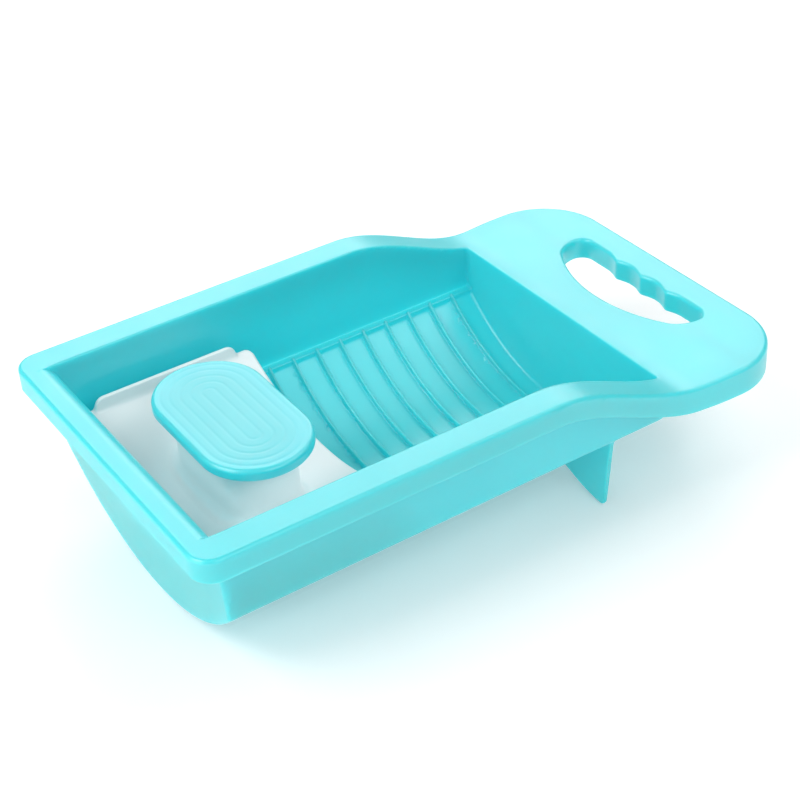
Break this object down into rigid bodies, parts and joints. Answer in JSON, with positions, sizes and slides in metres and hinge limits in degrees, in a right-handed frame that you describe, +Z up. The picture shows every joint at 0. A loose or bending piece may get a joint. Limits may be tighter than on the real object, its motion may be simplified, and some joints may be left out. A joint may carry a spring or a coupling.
{
  "type": "washboard",
  "caption": "Small moulded plastic washboard: ribbed trough with a wide rim, grip handle and standing fins, with a capped hand brush that strokes along it.",
  "frame": {"origin": "on the surface that the board stands on, under the middle of its box", "axes": "+X from the closed end towards the grip handle, level; +Y across the board; +Z up. The board stands nose up by about 2.5 degrees."},
  "size_m": [0.315, 0.1856, 0.0846],
  "materials": {
    "aqua_plastic": "smooth satin moulded polypropylene, light aqua",
    "white_plastic": "smooth satin moulded polypropylene, white",
    "bristle_nylon": "translucent white filament",
    "screw_steel": "zinc plated"
  },
  "bodies": {
    "washboard": {"washboard_tray": "aqua_plastic"},
    "brush": {"brush_base": "white_plastic", "grip_cap": "aqua_plastic", "fixing_screw_near": "screw_steel", "fixing_screw_far": "screw_steel", "bristle_tuft_1_1": "bristle_nylon", "bristle_tuft_1_2": "bristle_nylon", "bristle_tuft_1_3": "bristle_nylon", "bristle_tuft_1_4": "bristle_nylon", "bristle_tuft_1_5": "bristle_nylon", "bristle_tuft_1_6": "bristle_nylon", "bristle_tuft_2_1": "bristle_nylon", "bristle_tuft_2_2": "bristle_nylon", "bristle_tuft_2_3": "bristle_nylon", "bristle_tuft_2_4": "bristle_nylon", "bristle_tuft_2_5": "bristle_nylon", "bristle_tuft_2_6": "bristle_nylon", "bristle_tuft_3_1": "bristle_nylon", "bristle_tuft_3_2": "bristle_nylon", "bristle_tuft_3_3": "bristle_nylon", "bristle_tuft_3_4": "bristle_nylon", "bristle_tuft_3_5": "bristle_nylon", "bristle_tuft_3_6": "bristle_nylon", "bristle_tuft_4_1": "bristle_nylon", "bristle_tuft_4_2": "bristle_nylon", "bristle_tuft_4_3": "bristle_nylon", "bristle_tuft_4_4": "bristle_nylon", "bristle_tuft_4_5": "bristle_nylon", "bristle_tuft_4_6": "bristle_nylon", "bristle_tuft_5_1": "bristle_nylon", "bristle_tuft_5_2": "bristle_nylon", "bristle_tuft_5_3": "bristle_nylon", "bristle_tuft_5_4": "bristle_nylon", "bristle_tuft_5_5": "bristle_nylon", "bristle_tuft_5_6": "bristle_nylon", "bristle_tuft_6_1": "bristle_nylon", "bristle_tuft_6_2": "bristle_nylon", "bristle_tuft_6_3": "bristle_nylon", "bristle_tuft_6_4": "bristle_nylon", "bristle_tuft_6_5": "bristle_nylon", "bristle_tuft_6_6": "bristle_nylon", "bristle_tuft_7_1": "bristle_nylon", "bristle_tuft_7_2": "bristle_nylon", "bristle_tuft_7_3": "bristle_nylon", "bristle_tuft_7_4": "bristle_nylon", "bristle_tuft_7_5": "bristle_nylon", "bristle_tuft_7_6": "bristle_nylon", "bristle_tuft_8_1": "bristle_nylon", "bristle_tuft_8_2": "bristle_nylon", "bristle_tuft_8_3": "bristle_nylon", "bristle_tuft_8_4": "bristle_nylon", "bristle_tuft_8_5": "bristle_nylon", "bristle_tuft_8_6": "bristle_nylon", "bristle_tuft_9_1": "bristle_nylon", "bristle_tuft_9_2": "bristle_nylon", "bristle_tuft_9_3": "bristle_nylon", "bristle_tuft_9_4": "bristle_nylon", "bristle_tuft_9_5": "bristle_nylon", "bristle_tuft_9_6": "bristle_nylon"}
  },
  "joints": [
    {"name": "brush_stroke", "type": "slide", "parent": "washboard", "child": "brush", "axis": [0.999, 0, 0.0444], "range_m": [0, 0.131]}
  ]
}
